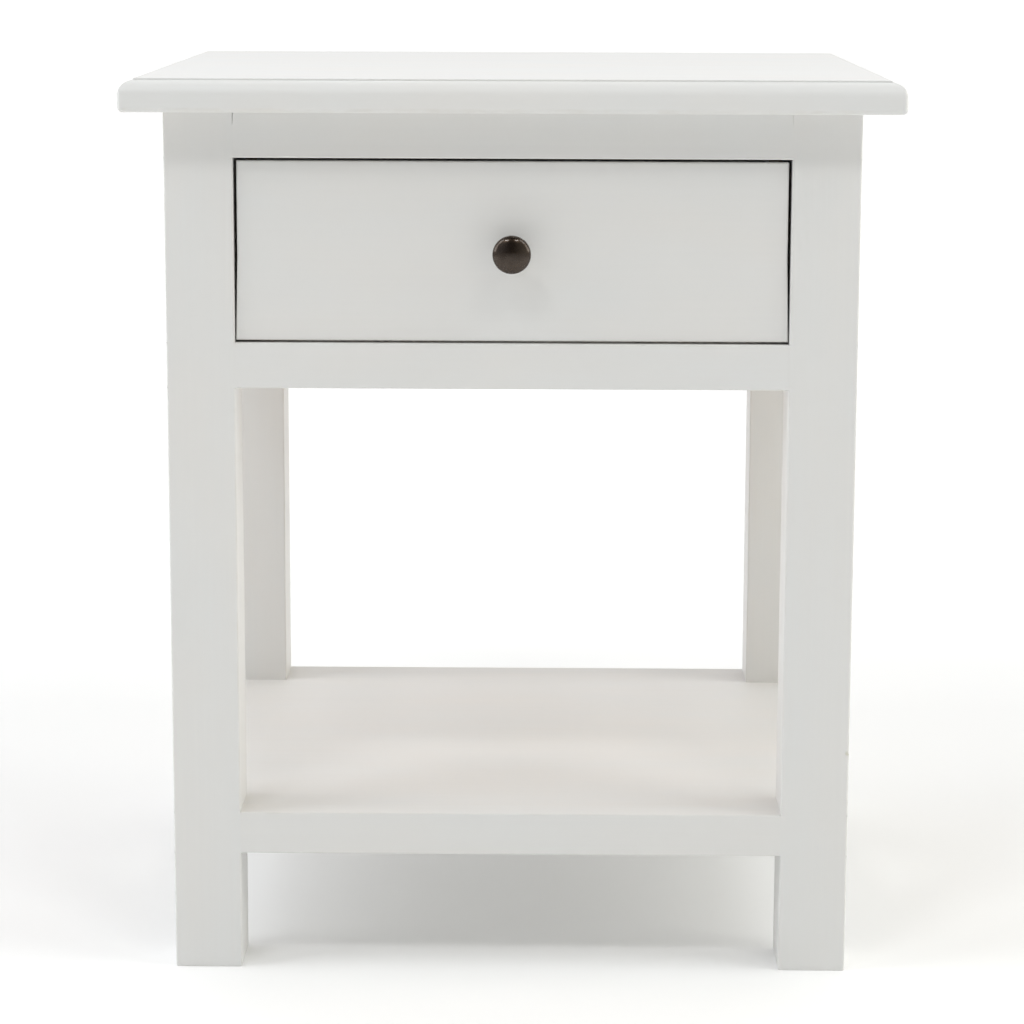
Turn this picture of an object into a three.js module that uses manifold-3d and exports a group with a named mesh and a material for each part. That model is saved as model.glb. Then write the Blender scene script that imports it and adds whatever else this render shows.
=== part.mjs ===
// Side table with one drawer and an open lower shelf, in white painted wood.
//
// Millimetres, +Z up, +X to the right as seen from the front, front towards -Y.
// The origin is on the floor, under the middle of the top board.

import * as THREE from "three";
import { mergeVertices } from "three/addons/utils/BufferGeometryUtils.js";
import Module from "manifold-3d";

// ---------------------------------------------------------------- Driving dimensions

const TABLE_HEIGHT = 600;
const TOP_WIDTH = 505;
const TOP_DEPTH = 450;
const TOP_THICKNESS = 21.5;
const OVERHANG = 26; // top board past the legs, at the front and at both sides
const BACK_OVERHANG = 14;
const MOULDING_RADIUS = 9.5; // quarter round along the top board's upper edge
const MOULDING_STEP = 1.2; // small step between the flat and the quarter round
const LOWER_EDGE_RADIUS = 2.5; // top board's lower edge

const LEG = 45; // square section
const RAIL = 20; // thickness of every rail and apron
const TOP_RAIL_HEIGHT = 30.5;
const OPENING_HEIGHT = 121; // drawer opening, from rail to rail
const DRAWER_RAIL_HEIGHT = 30;
const SHELF_TOP = 108.5; // upper face of the shelf and of its rails
const SHELF_RAIL_HEIGHT = 28.5;
const SHELF_THICKNESS = 12;
const SHELF_CLEAT = 15; // square section
const SHELF_GAP = 0.3; // shelf edges stay this far from the rails and the legs
const NOTCH_GAP = 0.5; // cleats, runners and kickers stay this far from the legs

const TENON_LENGTH = 25;
const TENON_THICKNESS = 8;
const TENON_SHOULDER = 4; // a tenon is set in this far above and below
const GLUE_GAP = 0.3; // room round a tenon, and round a panel in its groove

const RUNNER_HEIGHT = 20;
const RUNNER_LEDGE = 20; // runners and kickers stand this far inside the legs
const GUIDE_HEIGHT = 18;
const DRAWER_SIDE_PLAY = 1; // between a drawer side and its guide
const STOP_DEPTH = 15;
const STOP_HEIGHT = 20;

const DRAWER_GAP = 2; // shadow gap round the drawer front
const DRAWER_RECESS = 3; // drawer front behind the rails' front faces
const DRAWER_DEPTH = 371; // from the front's outer face to the sides' rear ends
const DRAWER_FRONT_THICKNESS = 18;
const DRAWER_LAP = 9; // rebate at each end of the front, which takes a side
const DRAWER_BOARD = 12; // thickness of the sides and the back
const DRAWER_SIDE_TOP = 114; // above the front's lower edge
const DRAWER_SIDE_DROP = 1.5; // sides below the front's lower edge
const DRAWER_BACK_SET = 10; // back board inside the sides' rear ends
const DRAWER_BACK_TOP = 104;
const HOUSING_DEPTH = 5.5; // grooves and housings cut into a board
const PANEL_THICKNESS = 5; // drawer bottom
const PANEL_HEIGHT = 9; // drawer bottom above the front's lower edge

const KNOB_RADIUS = 12.5;
const KNOB_PROJECTION = 26;
const KNOB_BASE_RADIUS = 8;
const KNOB_NECK_RADIUS = 5.2;
const KNOB_FLARE_RADIUS = 6; // where the neck widens, above and below
const KNOB_THREAD_DEPTH = 12;
const KNOB_FOOT_THICKNESS = 1.5;
const KNOB_NECK_START = 3.5; // the foot has narrowed to the neck's flare here
const KNOB_NECK_HEIGHT = 8; // the neck's narrowest place
const KNOB_RIM_HEIGHT = 20.6; // the head's widest place
const KNOB_BOWL_DEPTH = 4.2; // from the rim down to the head's underside

const SCREW_RADIUS = 2;
const SCREW_HEAD_RADIUS = 4;
const SCREW_HEAD_HEIGHT = 2.6;
const SCREW_CROWN_RADIUS = 2.4; // flat on top of the head
const SCREW_RIM_HEIGHT = 1.6; // straight side of the head
const SCREW_POINT = 5; // length of the tapered point
const PIN_RADIUS = 1; // nails under the drawer bottom
const PIN_LENGTH = 19;
const HOLE_GAP = 0.3; // a drilled hole's radius over its fastener's
const COUNTERBORE_RADIUS = 5.5;
const TOP_SCREW_COUNTERBORE = 10;
const GUIDE_SCREW_COUNTERBORE = 3.6;
const TOP_SCREW_LENGTH = 36;
const RUNNER_SCREW_LENGTH = 32;
const GUIDE_SCREW_LENGTH = 38;
const SHELF_SCREW_LENGTH = 24;
const KNOB_SCREW_LENGTH = 28;
const KNOB_SCREW_POINT = 1;
const SCREW_Y = 110; // runner and top screws, each way from the middle
const GUIDE_SCREW_Y = 60;
const SHELF_SCREW_X = 110;
const PIN_X = 90;

const ROUND_SEGMENTS = 12; // facets of a screw or a drilled hole
const KNOB_SEGMENTS = 32;
const ARC_SEGMENTS = 6; // facets of a moulded quarter round
const BOWL_SEGMENTS = 5;
const DOME_SEGMENTS = 8;
const OVERCUT = 1; // cutters reach this far past the faces they open
const MERGE_DISTANCE = 1e-4;

// ---------------------------------------------------------------- Derived places

const LEG_HEIGHT = TABLE_HEIGHT - TOP_THICKNESS;
const OUTER_X = TOP_WIDTH / 2 - OVERHANG; // the legs' outer side faces
const INNER_X = OUTER_X - LEG;
const APRON_X = OUTER_X - RAIL; // the side aprons' inner faces
const FRONT_Y = -TOP_DEPTH / 2 + OVERHANG;
const BACK_Y = TOP_DEPTH / 2 - BACK_OVERHANG;
const MIDDLE_Y = (FRONT_Y + BACK_Y) / 2;
const OPENING_TOP = LEG_HEIGHT - TOP_RAIL_HEIGHT;
const OPENING_BOTTOM = OPENING_TOP - OPENING_HEIGHT;
const APRON_BOTTOM = OPENING_BOTTOM - DRAWER_RAIL_HEIGHT;
const SHELF_RAIL_BOTTOM = SHELF_TOP - SHELF_RAIL_HEIGHT;
const CLEAT_TOP = SHELF_TOP - SHELF_THICKNESS;
const CLEAT_BOTTOM = CLEAT_TOP - SHELF_CLEAT;

const DRAWER_X = INNER_X - DRAWER_GAP; // half the drawer's width
const DRAWER_INNER_X = DRAWER_X - DRAWER_BOARD;
const DRAWER_FRONT_HEIGHT = OPENING_HEIGHT - 2 * DRAWER_GAP;
const DRAWER_BACK_Y = DRAWER_DEPTH - DRAWER_BACK_SET; // the back board's rear face
const GUIDE_X = DRAWER_X + DRAWER_SIDE_PLAY;
const LEDGE_X = INNER_X - RUNNER_LEDGE;
const GUIDE_MIDDLE_X = (GUIDE_X + APRON_X) / 2;
const SCREW_HOLE = SCREW_RADIUS + HOLE_GAP; // radius

// ---------------------------------------------------------------- Finishes

const WHITE_PAINT = { color: 0xdcdcd6, roughness: 0.5, metalness: 0 };
const BARE_WOOD = { color: 0xc9a878, roughness: 0.75, metalness: 0 };
const BRONZE = { color: 0x3b302a, roughness: 0.35, metalness: 0.9 };
const STEEL = { color: 0xa9a9a4, roughness: 0.4, metalness: 1 };

// ---------------------------------------------------------------- Solids

const wasm = await Module();
wasm.setup();

/** A closed geometry as a solid that can be joined and cut. */
function solidFrom(geometry) {
  const bare = geometry.clone();
  bare.deleteAttribute("normal");
  bare.deleteAttribute("uv");
  const merged = mergeVertices(bare, MERGE_DISTANCE);
  const mesh = new wasm.Mesh({
    numProp: 3,
    vertProperties: new Float32Array(merged.attributes.position.array),
    triVerts: new Uint32Array(merged.index.array),
  });
  return new wasm.Manifold(mesh);
}

/** A solid as a geometry that a mesh can show. */
function geometryFrom(solid) {
  const mesh = solid.getMesh();
  const geometry = new THREE.BufferGeometry();
  geometry.setAttribute("position", new THREE.BufferAttribute(mesh.vertProperties, 3));
  geometry.setIndex(new THREE.BufferAttribute(mesh.triVerts, 1));
  geometry.computeVertexNormals();
  return geometry;
}

/** A geometry with other geometries cut out of it. */
function cut(geometry, cutters) {
  const solid = cutters.reduce((rest, cutter) => rest.subtract(solidFrom(cutter)), solidFrom(geometry));
  return geometryFrom(solid);
}

/** A box over three ranges, each given by its two ends in either order. */
function block(x, y, z) {
  const middle = ([from, to]) => (from + to) / 2;
  const size = ([from, to]) => Math.abs(to - from);
  const geometry = new THREE.BoxGeometry(size(x), size(y), size(z));
  return geometry.translate(middle(x), middle(y), middle(z));
}

/** A drilled hole along +Z, its lower end at the given place. */
function holeUp(radius, length, x, y, z) {
  const hole = new THREE.CylinderGeometry(radius, radius, length, ROUND_SEGMENTS);
  return hole.rotateX(Math.PI / 2).translate(x, y, z + length / 2);
}

/** A drilled hole along X, centred on the given place. */
function holeAcross(radius, length, x, y, z) {
  const hole = new THREE.CylinderGeometry(radius, radius, length, ROUND_SEGMENTS);
  return hole.rotateZ(Math.PI / 2).translate(x, y, z);
}

/** A flat outline of [x, y] points, extruded upwards over a range of z. */
function plank(points, [bottom, top]) {
  const outline = new THREE.Shape(points.map(([x, y]) => new THREE.Vector2(x, y)));
  const geometry = new THREE.ExtrudeGeometry(outline, { depth: top - bottom, bevelEnabled: false });
  return geometry.translate(0, 0, bottom);
}

/** A turned shape from its [radius, height] profile, with its axis along +Z. */
function turned(points, segments) {
  const profile = points.map(([radius, height]) => new THREE.Vector2(radius, height));
  return new THREE.LatheGeometry(profile, segments).rotateX(Math.PI / 2);
}

/** Adds a named mesh with its own material to a group. */
function add(group, name, geometry, finish) {
  const mesh = new THREE.Mesh(geometry, new THREE.MeshStandardMaterial(finish));
  mesh.name = name;
  group.add(mesh);
  return mesh;
}

const SIDES = { left: -1, right: 1 };

/** Calls make(name, sign) for the left and the right side of the table. */
function forEachSide(make) {
  Object.entries(SIDES).forEach(([name, sign]) => make(name, sign));
}

/** Calls make(name, x sign, y sign) for the four corners. */
function forEachCorner(make) {
  forEachSide((side, signX) => {
    make(`front_${side}`, signX, -1);
    make(`back_${side}`, signX, 1);
  });
}

// ---------------------------------------------------------------- Top board

/** The board's outline in section, for one of its two directions. */
function topBoardSection(width) {
  const half = width / 2;
  const flat = half - MOULDING_RADIUS;
  const roundCentre = TOP_THICKNESS - MOULDING_STEP - MOULDING_RADIUS;
  const lower = half - LOWER_EDGE_RADIUS;
  const section = new THREE.Shape();
  section.moveTo(-lower, 0);
  section.lineTo(lower, 0);
  section.absarc(lower, LOWER_EDGE_RADIUS, LOWER_EDGE_RADIUS, -Math.PI / 2, 0, false);
  section.absarc(flat, roundCentre, MOULDING_RADIUS, 0, Math.PI / 2, false);
  section.lineTo(flat, TOP_THICKNESS);
  section.lineTo(-flat, TOP_THICKNESS);
  section.absarc(-flat, roundCentre, MOULDING_RADIUS, Math.PI / 2, Math.PI, false);
  section.absarc(-lower, LOWER_EDGE_RADIUS, LOWER_EDGE_RADIUS, Math.PI, 1.5 * Math.PI, false);
  return section;
}

/** The section drawn out to the given length along Y, and centred. */
function mouldedBar(width, length) {
  const section = topBoardSection(width);
  const options = { depth: length, bevelEnabled: false, curveSegments: ARC_SEGMENTS };
  return new THREE.ExtrudeGeometry(section, options).rotateX(Math.PI / 2).translate(0, length / 2, 0);
}

/** The board: its two sections meet in mitred mouldings at the corners. */
function topBoardGeometry() {
  const lengthwise = solidFrom(mouldedBar(TOP_WIDTH, TOP_DEPTH));
  const crosswise = solidFrom(mouldedBar(TOP_DEPTH, TOP_WIDTH).rotateZ(Math.PI / 2));
  const board = geometryFrom(lengthwise.intersect(crosswise)).translate(0, 0, LEG_HEIGHT);
  const depth = topScrewTip() - LEG_HEIGHT + HOLE_GAP + OVERCUT;
  const holes = [];
  forEachCorner((corner, signX, signY) => {
    const y = MIDDLE_Y + signY * SCREW_Y;
    holes.push(holeUp(SCREW_HOLE, depth, signX * GUIDE_MIDDLE_X, y, LEG_HEIGHT - OVERCUT));
  });
  return cut(board, holes);
}

// ---------------------------------------------------------------- Legs and rails

/** One rail for each entry: it runs along an axis, over a thickness and a height. */
function railList() {
  const front = [FRONT_Y, FRONT_Y + RAIL];
  const back = [BACK_Y - RAIL, BACK_Y];
  const shelf = [SHELF_RAIL_BOTTOM, SHELF_TOP];
  const apron = [APRON_BOTTOM, LEG_HEIGHT];
  const rails = [
    { name: "front_top_rail", axis: "x", thickness: front, height: [OPENING_TOP, LEG_HEIGHT] },
    { name: "drawer_rail", axis: "x", thickness: front, height: [APRON_BOTTOM, OPENING_BOTTOM] },
    { name: "back_apron", axis: "x", thickness: back, height: apron },
    { name: "shelf_rail_front", axis: "x", thickness: front, height: shelf },
    { name: "shelf_rail_back", axis: "x", thickness: back, height: shelf },
  ];
  forEachSide((side, sign) => {
    const thickness = [sign * APRON_X, sign * OUTER_X];
    rails.push({ name: `side_apron_${side}`, axis: "y", thickness, height: apron });
    rails.push({ name: `shelf_rail_${side}`, axis: "y", thickness, height: shelf });
  });
  return rails;
}

/** A box along a rail's own axis. */
function railBlock(rail, length, thickness, height) {
  return rail.axis === "x" ? block(length, thickness, height) : block(thickness, length, height);
}

/** Where a rail's shoulders meet the legs. */
function railLength(rail) {
  return rail.axis === "x" ? [-INNER_X, INNER_X] : [FRONT_Y + LEG, BACK_Y - LEG];
}

/** The bar that forms a rail's two tenons, grown all round by a gap. */
function tenonBar(rail, gap) {
  const [start, end] = railLength(rail);
  const middle = (rail.thickness[0] + rail.thickness[1]) / 2;
  const half = TENON_THICKNESS / 2 + gap;
  const length = [start - TENON_LENGTH - gap, end + TENON_LENGTH + gap];
  const height = [rail.height[0] + TENON_SHOULDER - gap, rail.height[1] - TENON_SHOULDER + gap];
  return railBlock(rail, length, [middle - half, middle + half], height);
}

/** The holes that the guide screws leave in a side apron, or none in another rail. */
function railHoles(rail) {
  if (!rail.name.startsWith("side_apron")) {
    return [];
  }
  const depth = 2 * (guideScrewTip() - APRON_X + HOLE_GAP);
  const x = Math.sign(rail.thickness[0]) * APRON_X;
  return guideScrewYs().map((y) => holeAcross(SCREW_HOLE, depth, x, y, guideScrewHeight()));
}

function railGeometry(rail) {
  const body = solidFrom(railBlock(rail, railLength(rail), rail.thickness, rail.height));
  const joined = geometryFrom(body.add(solidFrom(tenonBar(rail, 0))));
  return cut(joined, railHoles(rail));
}

/** A leg, with a mortise for each tenon that reaches it. */
function legGeometry(signX, signY, rails) {
  const outerY = signY < 0 ? FRONT_Y : BACK_Y;
  const leg = block([signX * OUTER_X, signX * INNER_X], [outerY, outerY - signY * LEG], [0, LEG_HEIGHT]);
  return cut(leg, rails.map((rail) => tenonBar(rail, GLUE_GAP)));
}

// ---------------------------------------------------------------- Shelf

/** The shelf board, notched round the four legs. */
function shelfGeometry() {
  const x = APRON_X - SHELF_GAP;
  const y = [FRONT_Y + RAIL + SHELF_GAP, BACK_Y - RAIL - SHELF_GAP];
  const z = [CLEAT_TOP, SHELF_TOP];
  const cutters = [];
  forEachCorner((corner, signX, signY) => {
    const legFace = signY < 0 ? FRONT_Y + LEG : BACK_Y - LEG;
    const notchX = [signX * (INNER_X - SHELF_GAP), signX * OUTER_X];
    const notchY = [legFace - signY * SHELF_GAP, legFace + signY * LEG];
    cutters.push(block(notchX, notchY, [CLEAT_TOP - OVERCUT, SHELF_TOP + OVERCUT]));
  });
  const pilot = SHELF_SCREW_LENGTH - SHELF_CLEAT + HOLE_GAP + OVERCUT;
  shelfScrewPlaces().forEach(({ x: screwX, y: screwY }) => {
    cutters.push(holeUp(SCREW_HOLE, pilot, screwX, screwY, CLEAT_TOP - OVERCUT));
  });
  return cut(block([-x, x], y, z), cutters);
}

/** The two places along a cleat where screws rise into the shelf, for each cleat. */
function shelfScrewPlaces() {
  const places = [];
  forEachCorner((corner, signX, signY) => {
    const railFace = signY < 0 ? FRONT_Y + RAIL : BACK_Y - RAIL;
    places.push({ corner, x: signX * SHELF_SCREW_X, y: railFace - signY * (SHELF_CLEAT / 2) });
  });
  return places;
}

/** A square cleat along the inner face of the front or the back shelf rail. */
function cleatGeometry(signY) {
  const railFace = signY < 0 ? FRONT_Y + RAIL : BACK_Y - RAIL;
  const x = INNER_X - NOTCH_GAP;
  const cleat = block([-x, x], [railFace, railFace - signY * SHELF_CLEAT], [CLEAT_BOTTOM, CLEAT_TOP]);
  const through = SHELF_CLEAT + 2 * OVERCUT;
  const holes = shelfScrewPlaces().map((place) =>
    holeUp(SCREW_HOLE, through, place.x, place.y, CLEAT_BOTTOM - OVERCUT),
  );
  return cut(cleat, holes);
}

// ---------------------------------------------------------------- Runners, guides, kickers, stops

/** A strip along one side: full width between the legs, with a ledge reaching past them. */
function stripOutline(sign) {
  const railFront = FRONT_Y + RAIL;
  const railBack = BACK_Y - RAIL;
  const legFront = FRONT_Y + LEG + NOTCH_GAP;
  const legBack = BACK_Y - LEG - NOTCH_GAP;
  const legX = INNER_X - NOTCH_GAP;
  return [
    [sign * LEDGE_X, railFront],
    [sign * legX, railFront],
    [sign * legX, legFront],
    [sign * APRON_X, legFront],
    [sign * APRON_X, legBack],
    [sign * legX, legBack],
    [sign * legX, railBack],
    [sign * LEDGE_X, railBack],
  ];
}

/** The vertical holes of one side's strip, the same at both screws. */
function stripHoles(sign, radius, length, z) {
  return [-1, 1].map((signY) =>
    holeUp(radius, length, sign * GUIDE_MIDDLE_X, MIDDLE_Y + signY * SCREW_Y, z),
  );
}

/** A drawer side slides on the runner's ledge. */
function runnerGeometry(sign) {
  const bottom = OPENING_BOTTOM - RUNNER_HEIGHT;
  const runner = plank(stripOutline(sign), [bottom, OPENING_BOTTOM]);
  const holes = stripHoles(sign, SCREW_HOLE, RUNNER_HEIGHT + 2 * OVERCUT, bottom - OVERCUT);
  return cut(runner, holes);
}

/** The kicker keeps an open drawer from tipping, and takes the top board's screws. */
function kickerGeometry(sign) {
  const kicker = plank(stripOutline(sign), [OPENING_TOP, LEG_HEIGHT]);
  const start = OPENING_TOP - OVERCUT;
  const holes = [
    ...stripHoles(sign, SCREW_HOLE, TOP_RAIL_HEIGHT + 2 * OVERCUT, start),
    ...stripHoles(sign, COUNTERBORE_RADIUS, TOP_SCREW_COUNTERBORE + OVERCUT, start),
  ];
  return cut(kicker, holes);
}

/** The guide on top of the runner, which keeps the drawer straight. */
function guideGeometry(sign) {
  const y = [FRONT_Y + LEG + NOTCH_GAP, BACK_Y - LEG - NOTCH_GAP];
  const guide = block([sign * GUIDE_X, sign * APRON_X], y, [OPENING_BOTTOM, OPENING_BOTTOM + GUIDE_HEIGHT]);
  const pilot = RUNNER_SCREW_LENGTH - RUNNER_HEIGHT + HOLE_GAP + OVERCUT;
  const holes = stripHoles(sign, SCREW_HOLE, pilot, OPENING_BOTTOM - OVERCUT);
  const counterbore = 2 * GUIDE_SCREW_COUNTERBORE; // half of it is outside the guide
  guideScrewYs().forEach((screwY) => {
    holes.push(holeAcross(SCREW_HOLE, 2 * LEG, sign * GUIDE_MIDDLE_X, screwY, guideScrewHeight()));
    holes.push(holeAcross(COUNTERBORE_RADIUS, counterbore, sign * GUIDE_X, screwY, guideScrewHeight()));
  });
  return cut(guide, holes);
}

/** A stop block at the back, which the closed drawer's side meets. */
function stopGeometry(sign) {
  const front = BACK_Y - RAIL - STOP_DEPTH;
  const z = [OPENING_BOTTOM, OPENING_BOTTOM + STOP_HEIGHT];
  return block([sign * LEDGE_X, sign * DRAWER_X], [front, BACK_Y - RAIL], z);
}

// ---------------------------------------------------------------- Fasteners

/** A pan-head screw along +Z, its point upwards and the underside of its head at z = 0. */
function screwGeometry(length, point) {
  const profile = [
    [0, -SCREW_HEAD_HEIGHT],
    [SCREW_CROWN_RADIUS, -SCREW_HEAD_HEIGHT],
    [SCREW_HEAD_RADIUS, -SCREW_RIM_HEIGHT],
    [SCREW_HEAD_RADIUS, 0],
    [SCREW_RADIUS, 0],
    [SCREW_RADIUS, length - point],
    [0, length],
  ];
  return turned(profile, ROUND_SEGMENTS);
}

/** A nail along +Z, with its flat head at z = 0. */
function pinGeometry() {
  const profile = [
    [0, -PIN_RADIUS],
    [2 * PIN_RADIUS, -PIN_RADIUS],
    [2 * PIN_RADIUS, 0],
    [PIN_RADIUS, 0],
    [PIN_RADIUS, PIN_LENGTH - 2 * PIN_RADIUS],
    [0, PIN_LENGTH],
  ];
  return turned(profile, ROUND_SEGMENTS);
}

/** The height that the top board's screws reach. */
function topScrewTip() {
  return OPENING_TOP + TOP_SCREW_COUNTERBORE + TOP_SCREW_LENGTH;
}

/** The x that the guide screws reach, and the height and places where they cross. */
function guideScrewTip() {
  return GUIDE_X + GUIDE_SCREW_COUNTERBORE + GUIDE_SCREW_LENGTH;
}

function guideScrewHeight() {
  return OPENING_BOTTOM + GUIDE_HEIGHT / 2;
}

function guideScrewYs() {
  return [-1, 1].map((signY) => MIDDLE_Y + signY * GUIDE_SCREW_Y);
}

// ---------------------------------------------------------------- Drawer
//
// The drawer has a group of its own: y = 0 at the front's outer face, z = 0 at its lower edge.

/** The front: rebates for the sides, a groove for the bottom, and the knob's hole. */
function drawerFrontGeometry() {
  const thickness = DRAWER_FRONT_THICKNESS;
  const front = block([-DRAWER_X, DRAWER_X], [0, thickness], [0, DRAWER_FRONT_HEIGHT]);
  const high = [-OVERCUT, DRAWER_FRONT_HEIGHT + OVERCUT];
  const cutters = [panelGroove(), knobHole(thickness)];
  forEachSide((side, sign) => {
    const x = [sign * (DRAWER_INNER_X - GLUE_GAP), sign * (DRAWER_X + OVERCUT)];
    cutters.push(block(x, [thickness - DRAWER_LAP, thickness + OVERCUT], high));
  });
  return cut(front, cutters);
}

/** The space that the bottom panel needs, in the front and in both sides. */
function panelGroove() {
  const x = DRAWER_INNER_X + HOUSING_DEPTH;
  const y = [DRAWER_FRONT_THICKNESS - HOUSING_DEPTH, DRAWER_DEPTH + OVERCUT];
  return block([-x, x], y, [PANEL_HEIGHT - GLUE_GAP, PANEL_HEIGHT + PANEL_THICKNESS + GLUE_GAP]);
}

/** The screw hole through the drawer front, at its middle. */
function knobHole(thickness) {
  const length = thickness + 2 * OVERCUT;
  const hole = new THREE.CylinderGeometry(SCREW_HOLE, SCREW_HOLE, length, ROUND_SEGMENTS);
  return hole.translate(0, thickness / 2, DRAWER_FRONT_HEIGHT / 2);
}

/** A side, grooved for the bottom and housed for the back. */
function drawerSideGeometry(sign) {
  const y = [DRAWER_FRONT_THICKNESS - DRAWER_LAP + GLUE_GAP, DRAWER_DEPTH];
  const z = [-DRAWER_SIDE_DROP, DRAWER_SIDE_TOP];
  const side = block([sign * DRAWER_INNER_X, sign * DRAWER_X], y, z);
  const housingX = [sign * (DRAWER_INNER_X - OVERCUT), sign * (DRAWER_INNER_X + HOUSING_DEPTH)];
  const housingY = [DRAWER_BACK_Y - DRAWER_BOARD - GLUE_GAP, DRAWER_BACK_Y + GLUE_GAP];
  const housing = block(housingX, housingY, [PANEL_HEIGHT, DRAWER_SIDE_TOP + OVERCUT]);
  return cut(side, [panelGroove(), housing]);
}

/** The back, which stands on the bottom panel. */
function drawerBackGeometry() {
  const x = DRAWER_INNER_X + HOUSING_DEPTH - GLUE_GAP;
  const bottom = PANEL_HEIGHT + PANEL_THICKNESS + GLUE_GAP;
  const back = block([-x, x], [DRAWER_BACK_Y - DRAWER_BOARD, DRAWER_BACK_Y], [bottom, DRAWER_BACK_TOP]);
  return cut(back, pinHoles());
}

function drawerBottomGeometry() {
  const x = DRAWER_INNER_X + HOUSING_DEPTH - GLUE_GAP;
  const y = [DRAWER_FRONT_THICKNESS - HOUSING_DEPTH + GLUE_GAP, DRAWER_BACK_Y];
  return cut(block([-x, x], y, [PANEL_HEIGHT, PANEL_HEIGHT + PANEL_THICKNESS]), pinHoles());
}

/** The nails' holes, up through the bottom into the back. */
function pinHoles() {
  const y = DRAWER_BACK_Y - DRAWER_BOARD / 2;
  const depth = PIN_LENGTH + HOLE_GAP + OVERCUT;
  return [-PIN_X, PIN_X].map((x) => holeUp(PIN_RADIUS + HOLE_GAP, depth, x, y, PANEL_HEIGHT - OVERCUT));
}

/** A mushroom knob with a domed head and a blind screw hole, along +Z from its base. */
function knobGeometry() {
  const dome = KNOB_PROJECTION - KNOB_RIM_HEIGHT;
  const profile = [
    [0, KNOB_THREAD_DEPTH],
    [SCREW_HOLE, KNOB_THREAD_DEPTH],
    [SCREW_HOLE, 0],
    [KNOB_BASE_RADIUS, 0],
    [KNOB_BASE_RADIUS, KNOB_FOOT_THICKNESS],
    [KNOB_FLARE_RADIUS, KNOB_NECK_START],
    [KNOB_NECK_RADIUS, KNOB_NECK_HEIGHT],
    [KNOB_FLARE_RADIUS, KNOB_RIM_HEIGHT - KNOB_BOWL_DEPTH],
  ];
  for (let step = 1; step <= BOWL_SEGMENTS; step += 1) {
    const angle = (step / BOWL_SEGMENTS) * (Math.PI / 2);
    const reach = (KNOB_RADIUS - KNOB_FLARE_RADIUS) * (1 - Math.sin(angle));
    profile.push([KNOB_RADIUS - reach, KNOB_RIM_HEIGHT - KNOB_BOWL_DEPTH * Math.cos(angle)]);
  }
  for (let step = 1; step <= DOME_SEGMENTS; step += 1) {
    const angle = (step / DOME_SEGMENTS) * (Math.PI / 2);
    profile.push([KNOB_RADIUS * Math.cos(angle), KNOB_RIM_HEIGHT + dome * Math.sin(angle)]);
  }
  profile[profile.length - 1][0] = 0;
  return turned(profile, KNOB_SEGMENTS);
}

function buildDrawer() {
  const drawer = new THREE.Group();
  drawer.position.set(0, FRONT_Y + DRAWER_RECESS, OPENING_BOTTOM + DRAWER_GAP);
  add(drawer, "drawer_front", drawerFrontGeometry(), WHITE_PAINT);
  forEachSide((side, sign) => add(drawer, `drawer_side_${side}`, drawerSideGeometry(sign), BARE_WOOD));
  add(drawer, "drawer_back", drawerBackGeometry(), BARE_WOOD);
  add(drawer, "drawer_bottom", drawerBottomGeometry(), BARE_WOOD);

  const middle = DRAWER_FRONT_HEIGHT / 2;
  const knob = add(drawer, "knob", knobGeometry(), BRONZE);
  knob.rotation.x = Math.PI / 2;
  knob.position.set(0, 0, middle);
  const knobScrew = add(drawer, "knob_screw", screwGeometry(KNOB_SCREW_LENGTH, KNOB_SCREW_POINT), STEEL);
  knobScrew.rotation.x = Math.PI / 2;
  knobScrew.position.set(0, DRAWER_FRONT_THICKNESS, middle);
  forEachSide((side, sign) => {
    const pin = add(drawer, `bottom_pin_${side}`, pinGeometry(), STEEL);
    pin.position.set(sign * PIN_X, DRAWER_BACK_Y - DRAWER_BOARD / 2, PANEL_HEIGHT);
  });
  return drawer;
}

// ---------------------------------------------------------------- Carcass

function buildCarcass() {
  const carcass = new THREE.Group();
  const rails = railList();
  add(carcass, "top_board", topBoardGeometry(), WHITE_PAINT);
  forEachCorner((corner, signX, signY) =>
    add(carcass, `leg_${corner}`, legGeometry(signX, signY, rails), WHITE_PAINT),
  );
  rails.forEach((rail) => add(carcass, rail.name, railGeometry(rail), WHITE_PAINT));
  add(carcass, "shelf_board", shelfGeometry(), WHITE_PAINT);
  add(carcass, "shelf_cleat_front", cleatGeometry(-1), WHITE_PAINT);
  add(carcass, "shelf_cleat_back", cleatGeometry(1), WHITE_PAINT);
  forEachSide((side, sign) => {
    add(carcass, `drawer_runner_${side}`, runnerGeometry(sign), BARE_WOOD);
    add(carcass, `drawer_guide_${side}`, guideGeometry(sign), BARE_WOOD);
    add(carcass, `drawer_kicker_${side}`, kickerGeometry(sign), BARE_WOOD);
    add(carcass, `drawer_stop_${side}`, stopGeometry(sign), BARE_WOOD);
  });
  return carcass;
}

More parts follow.
